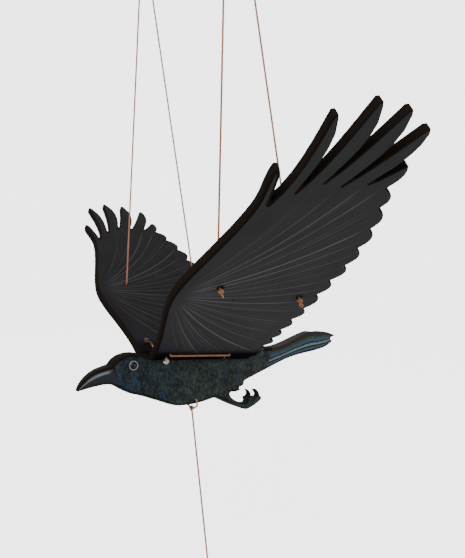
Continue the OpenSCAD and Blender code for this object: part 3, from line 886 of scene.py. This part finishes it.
loop_low, loop_high = node_box("hanging_loop", ROW)
bridle_low, bridle_high = node_box("bridle_knot", ROW)
loop_r = loop_high[1] - CORD_R
loop_top = loop_high[2] - CORD_R
half_turn = np.linspace(0, math.pi, 13)
arch = [(0, loop_r * math.cos(t), loop_top - loop_r + loop_r * math.sin(t)) for t in half_turn]
gather = loop_low[2] + 6
loop_path = [(0, 1.0, gather - 5), (0, 1.1, gather)] + arch + [(0, -1.1, gather), (0, -1.0, gather - 5)]
loop_part = merged([
    twisted(loop_path, softness=2.5),
    coil((0, 0, gather - 3), (0, 0, 1), 1.75, 6.2, WHIPPING_WIRE),
])
ring_loop = finished("ring_loop", loop_part, ROW, "cord")
settle(ring_loop, "hanger", "hanging_loop")

bridle_top = bridle_high[2] - 4
line = finished("hanging_line", twisted([(0, 0, gather - 1), (0, 0, bridle_top)]), ROW, "cord")
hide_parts("hanging_cord")
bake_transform(line)

bar_low, bar_high = node_box("spreader_bar", ROW)
bar_z = (bar_low[2] + bar_high[2]) / 2
leg_y = bridle_high[1] - 3
bridle_parts = [coil((0, 0, bridle_top), (0, 0, 1), 1.9, 7.4, 0.5)]
for hand in (-1, 1):
    leg = [
        (0, hand * 0.9, bridle_top + 3), (0, hand * 1.0, bridle_top - 3),
        (0, hand * leg_y, bar_z + 11), (0, hand * leg_y, bridle_low[2] + 1),
    ]
    bridle_parts.append(twisted(leg, softness=8))
    bridle_parts.append(knot((0, hand * leg_y, bridle_low[2] + 3), (0.5, 0.2, 1), BRIDLE_KNOT))
bridle = finished("bridle", merged(bridle_parts), ROW, "cord")
settle(bridle, "bar", "bridle_knot")


def turned_bar():
    """The spreader bar with a pair of grooves cut beside each ball end."""
    points, faces = even_mesh("spreader_bar", ROW, 0.5, 3)
    end = bar_high[1]
    y = np.abs(points[:, 1])
    cut = sum(0.55 * np.exp(-(((y - end + off) / 0.6) ** 2)) for off in (14.5, 17.5))
    dx, dz = points[:, 0], points[:, 2] - bar_z
    radius = np.maximum(np.hypot(dx, dz), 1e-6)
    shrink = 1 - cut / radius * np.clip((radius - 2) / 2, 0, 1)
    points[:, 0] = dx * shrink
    points[:, 2] = bar_z + dz * shrink
    return points, faces.tolist()


bar = finished("turned_bar", turned_bar(), ROW, "plain_wood")
settle(bar, "bar", "spreader_bar")

# ---- suspension cords ----

# Length of the whipping below each bar loop
WHIPPING = 14.0


def cord_ends(node):
    """Upper and lower end of a straight CAD cord, in millimetres of the row."""
    points = node_points(node, ROW)
    upper = points[:, 2] > (points[:, 2].min() + points[:, 2].max()) / 2
    return points[upper].mean(0), points[~upper].mean(0)


def row_point(place, *point):
    """A point of a local frame, in millimetres of the row."""
    return np.array(place @ Vector(point)) / MM


knots = node_points("right_cord_knots", WING)
wing_half = node_points("right_wing", WING)[:, 2].max()
divide = (knots[:, 0].min() + knots[:, 0].max()) / 2
HOLES = {}
for label, group in (("front", knots[knots[:, 0] < divide]), ("rear", knots[knots[:, 0] > divide])):
    HOLES[label] = (group.min(0) + group.max(0))[:2] / 2

for side, mirror in SIDES.items():
    body_name = side + "_cords"
    low, high = node_box("right_bar_loop", ROW)
    y = (low[1] + high[1]) / 2
    loop_r = (high[0] - low[0]) / 2 - CORD_R
    top = high[2] - CORD_R
    arch = [(loop_r * math.cos(t), y, top - loop_r + loop_r * math.sin(t)) for t in half_turn]
    under = low[2] + WHIPPING
    path = [(1.2, y, low[2] + 3), (1.3, y, under)] + arch + [(-1.3, y, under), (-1.2, y, low[2] + 3)]
    part = merged([
        twisted(path, softness=4),
        coil((0, y, low[2] + WHIPPING / 2), (0, 0, 1), 2.35, WHIPPING, WHIPPING_WIRE),
    ])
    loop = finished(side + "_loop", part, mirror @ ROW, "cord")
    settle(loop, body_name, side + "_bar_loop")
    for label, (u, v) in HOLES.items():
        upper, _ = cord_ends("right_" + label + "_cord")
        mouth = row_point(WING, u, v, wing_half)
        below = row_point(WING, u, v, -wing_half)
        lump = row_point(WING, u, v, -wing_half - 2.9)
        tail = lump + (0.8, 1.2, -5.0)
        inner = upper + (upper - mouth) * 0.012
        knot_axis = tuple(mouth - lump + np.array((2.0, 1.5, 0)))
        part = merged([
            twisted([inner, mouth, below, lump, tail], softness=5),
            knot(lump, knot_axis, WING_KNOT),
        ] + ([knot(lump + (0.3, 0.4, -3.6), (1, 0.4, 0.6), SECOND_KNOT)] if label == "rear" else []))
        cord = finished(side + "_" + label + "_line", part, mirror @ ROW, "cord")
        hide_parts(side + "_" + label + "_cord", side + "_cord_knots")
        toward = (upper - mouth) / np.linalg.norm(upper - mouth)
        start, end = mouth + toward * 16, mouth - toward * 1.0
        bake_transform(cord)

# ---- hinge cords ----

cross_low, cross_high = node_box("front_cross_cord", BIRD)
cross_z = cross_low[2] + CORD_R
lace_x = -(cross_low[0] + cross_high[0]) / 2
hinge_y = (BIRD.inverted() @ pivot("right_wing_flap")).y
lacing = node_points("right_hinge_lacing", WING)
under_run = lacing[lacing[:, 2] < lacing[:, 2].min() + 1]
lace_v = under_run[:, 1].mean()
tie = lacing[lacing[:, 0] < -lace_x - 1.6]
tie_u, tie_v = ((tie.min(0) + tie.max(0)) / 2)[:2]
over = wing_half + CORD_R + 0.1
flank_y = node_points("body", BIRD)[:, 1].max()

WING_TO_BIRD = BIRD.inverted() @ WING


def in_bird(*wing_point):
    return tuple(WING_TO_BIRD @ Vector(wing_point))


for side, mirror in SIDES.items():
    path = []
    for end in (-1, 1):
        x = end * lace_x
        crossing = [
            (x, flank_y - 5, cross_z), (x, flank_y, cross_z), (x, hinge_y - 1.2, -1.9),
            in_bird(x, 1.0, 0.4), in_bird(x, 2.9, over), in_bird(x, lace_v, over),
            in_bird(x, lace_v, -over),
        ]
        path += crossing if end < 0 else crossing[::-1]
    tie_run = [
        in_bird(-lace_x - 0.2, lace_v, over - 3), in_bird(-lace_x - 0.6, lace_v + 0.5, over + 0.5),
        in_bird(tie_u + 1, tie_v - 1, over + 0.4), in_bird(tie_u, tie_v, wing_half - 1),
        in_bird(tie_u, tie_v, -wing_half + 1),
    ]
    tie_centre = in_bird(tie_u, tie_v, wing_half + 1.9)
    part = merged([
        twisted(path, softness=2.4),
        twisted(tie_run, softness=2.4),
        knot(tie_centre, in_bird(0.4, 0.3, 1.0), WING_KNOT),
    ])
    # Painted shade on the cord round the tie knot, full within 6 mm and gone by 9 mm
    from_tie = np.linalg.norm(part[0] - tie_centre, axis=1)
    stain = np.outer(np.clip((9 - from_tie) / 3, 0, 1), (0.85, 0, 0))
    lace = finished(side + "_hinge_cord", part, mirror @ BIRD, "cord", [("stain", stain)])
    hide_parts(side + "_hinge_lacing")
    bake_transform(lace)

for label, x in (("front", -lace_x), ("rear", lace_x)):
    part = twisted([(x, -flank_y + 0.5, cross_z), (x, flank_y - 0.5, cross_z)], softness=1)
    inside = finished(label + "_cross_line", part, BIRD, "cord")
    settle(inside, "bird_body", label + "_cross_cord")

# ---- pull cord ----

pull = pivot("pull_swing") / MM
loop_low, loop_high = node_box("pull_loop", ROW)
knot_z = loop_low[2] + 2.9
reach_y = loop_high[1] - CORD_R
path = [
    (0, -0.9, knot_z - pull.z), (0, -reach_y, -6.0), (0, -reach_y, 0.3), (0, reach_y, 0.3),
    (0, reach_y, -6.0), (0, 0.9, knot_z - pull.z),
]
path = [np.array(point) + np.array(pull) for point in path]
lump = np.array((pull.x, pull.y, knot_z))
part = merged([
    twisted(path, softness=4),
    knot(lump, (1, 0.5, 0.35), BELLY_KNOT),
])
belly_loop = finished("belly_loop", part, ROW, "cord")
settle(belly_loop, "pull", "pull_loop")

cord_low, _ = node_box("pull_cord", ROW)
weight_low, weight_high = node_box("pull_weight", ROW)
stop_low, stop_high = node_box("weight_knot", ROW)
part = merged([
    twisted([(pull.x, 0, knot_z), (pull.x, 0, cord_low[2])]),
    knot((pull.x, 0, (stop_low[2] + stop_high[2]) / 2), (0.6, 0.3, 1), STOP_KNOT),
])
pull_line = finished("pull_line", part, ROW, "cord")
settle(pull_line, "pull", "pull_cord", "weight_knot")


def turned_weight():
    """The turned bead with three fine grooves round its belly and a rounded collar."""
    points, faces = even_mesh("pull_weight", ROW, 0.45, 4)
    radius = (weight_high[0] - weight_low[0]) / 2
    centre_z = weight_low[2] + radius
    rise = points[:, 2] - centre_z
    dx, dy = points[:, 0] - pull.x, points[:, 1]
    flat = np.maximum(np.hypot(dx, dy), 1e-6)
    cut = sum(0.5 * np.exp(-(((rise - at) / 0.55) ** 2)) for at in (-2.2, 0.0, 2.2))
    cut = cut * (flat > radius * 0.7)
    points[:, 0] = pull.x + dx * (1 - cut / flat)
    points[:, 1] = dy * (1 - cut / flat)
    return points, faces.tolist()


weight = finished("pull_bead", turned_weight(), ROW, "plain_wood")
settle(weight, "pull", "pull_weight")

# ---- stage, light and camera ----

# The floor's height, flat radius, rise radius and wall top, in metres
FLOOR_Z = CAD_BOX[0].z - 0.05
FLOOR_R, RISE_R, WALL_TOP = 1.7, 1.2, 3.2
# How far the floor brightens itself, for the camera only
SEEN_GLOW = 3.0
# Lamps: name, place from the bird in metres, size and power
LAMPS = [
    ("key", (-1.3, -1.2, 1.5), 1.6, 34),
    ("fill", (1.5, -1.4, -0.1), 1.8, 12),
    ("rim", (0.3, 1.8, 0.9), 1.4, 4),
]
SKY_LIGHT = 0.55
# The camera's place in the millimetres of the bird's frame, and its lens
CAMERA_PLACE = (-247.6, -488.1, 48.7)
CAMERA_LENS = 36.774


def backdrop():
    """A pale floor that curves up into a wall all round; from below it can't be seen."""
    turns = np.linspace(0, math.pi / 2, 9)
    bend = [(FLOOR_R + RISE_R * math.sin(t), RISE_R * (1 - math.cos(t))) for t in turns]
    profile = [(0.001, 0.0), (FLOOR_R * 0.5, 0.0)] + bend + [(FLOOR_R + RISE_R, WALL_TOP)]
    sides = 96
    angle = np.linspace(0, 2 * math.pi, sides, endpoint=False)
    points = [(r * math.cos(a), r * math.sin(a), FLOOR_Z + z) for r, z in profile for a in angle]
    faces = [face[::-1] for face in bands(len(profile), sides)]
    mesh = bpy.data.meshes.new("pale_floor")
    mesh.from_pydata(points, [], faces)
    mesh.polygons.foreach_set("use_smooth", [True] * len(mesh.polygons))
    p = Paint("pale_floor", Roughness=0.8, Specular_IOR_Level=0.1)
    mottle = p.noise(p.stretched(p.object_mm(), 0.004, 0.004, 0.004), 1.0, 4.0)
    p.finish(Base_Color=p.mix(mottle, (0.80, 0.80, 0.80), (0.84, 0.84, 0.835)))
    glow = p.node("Emission", {"Color": (1.0, 1.0, 1.0), "Strength": SEEN_GLOW})
    lit = p.node("AddShader", {0: p.shader.outputs[0], 1: glow.outputs[0]})
    clear = p.node("BsdfTransparent", {})
    back = p.node("NewGeometry", {}).outputs["Backfacing"]
    seen = p.node("LightPath", {}).outputs["Is Camera Ray"]
    shown = p.math("MULTIPLY", seen, p.math("SUBTRACT", 1.0, back))
    both = p.node("MixShader", {0: shown, 1: clear.outputs[0], 2: lit.outputs[0]})
    p.tree.links.new(both.outputs[0], p.tree.nodes["Material Output"].inputs["Surface"])
    p.material.cycles.emission_sampling = "NONE"
    mesh.materials.append(p.material)
    floor = bpy.data.objects.new("pale_floor", mesh)
    bpy.context.scene.collection.objects.link(floor)


def soft_light(name, place, aim, size, power):
    data = bpy.data.lights.new(name, "AREA")
    data.shape = "DISK"
    data.size = size
    data.energy = power
    lamp = bpy.data.objects.new(name, data)
    bpy.context.scene.collection.objects.link(lamp)
    lamp.visible_camera = False
    lamp.location = place
    lamp.rotation_euler = (Vector(aim) - Vector(place)).to_track_quat("-Z", "Y").to_euler()


def photo_camera():
    """The viewpoint of the reference view, given in the bird's own frame."""
    turn = BIRD.to_3x3().normalized()
    data = bpy.data.cameras.new("camera")
    data.sensor_width = 36
    data.lens = CAMERA_LENS
    data.clip_start = 0.01
    camera = bpy.data.objects.new("camera", data)
    bpy.context.scene.collection.objects.link(camera)
    right = turn @ Vector((0.856, -0.5152, 0.0417))
    up = turn @ Vector((-0.0588, -0.017, 0.9981))
    back = turn @ Vector((-0.5135, -0.8569, -0.0449))
    turned = Matrix((right, up, back)).transposed().to_4x4()
    camera.matrix_world = Matrix.Translation(BIRD @ Vector(CAMERA_PLACE)) @ turned
    bpy.context.scene.camera = camera


backdrop()
for name, place, size, power in LAMPS:
    soft_light(name, BIRD.translation + Vector(place), BIRD.translation, size, power)
world = bpy.data.worlds.new("studio")
world.use_nodes = True
world.node_tree.nodes["Background"].inputs["Color"].default_value = (1, 1, 1, 1)
world.node_tree.nodes["Background"].inputs["Strength"].default_value = SKY_LIGHT
bpy.context.scene.world = world
photo_camera()
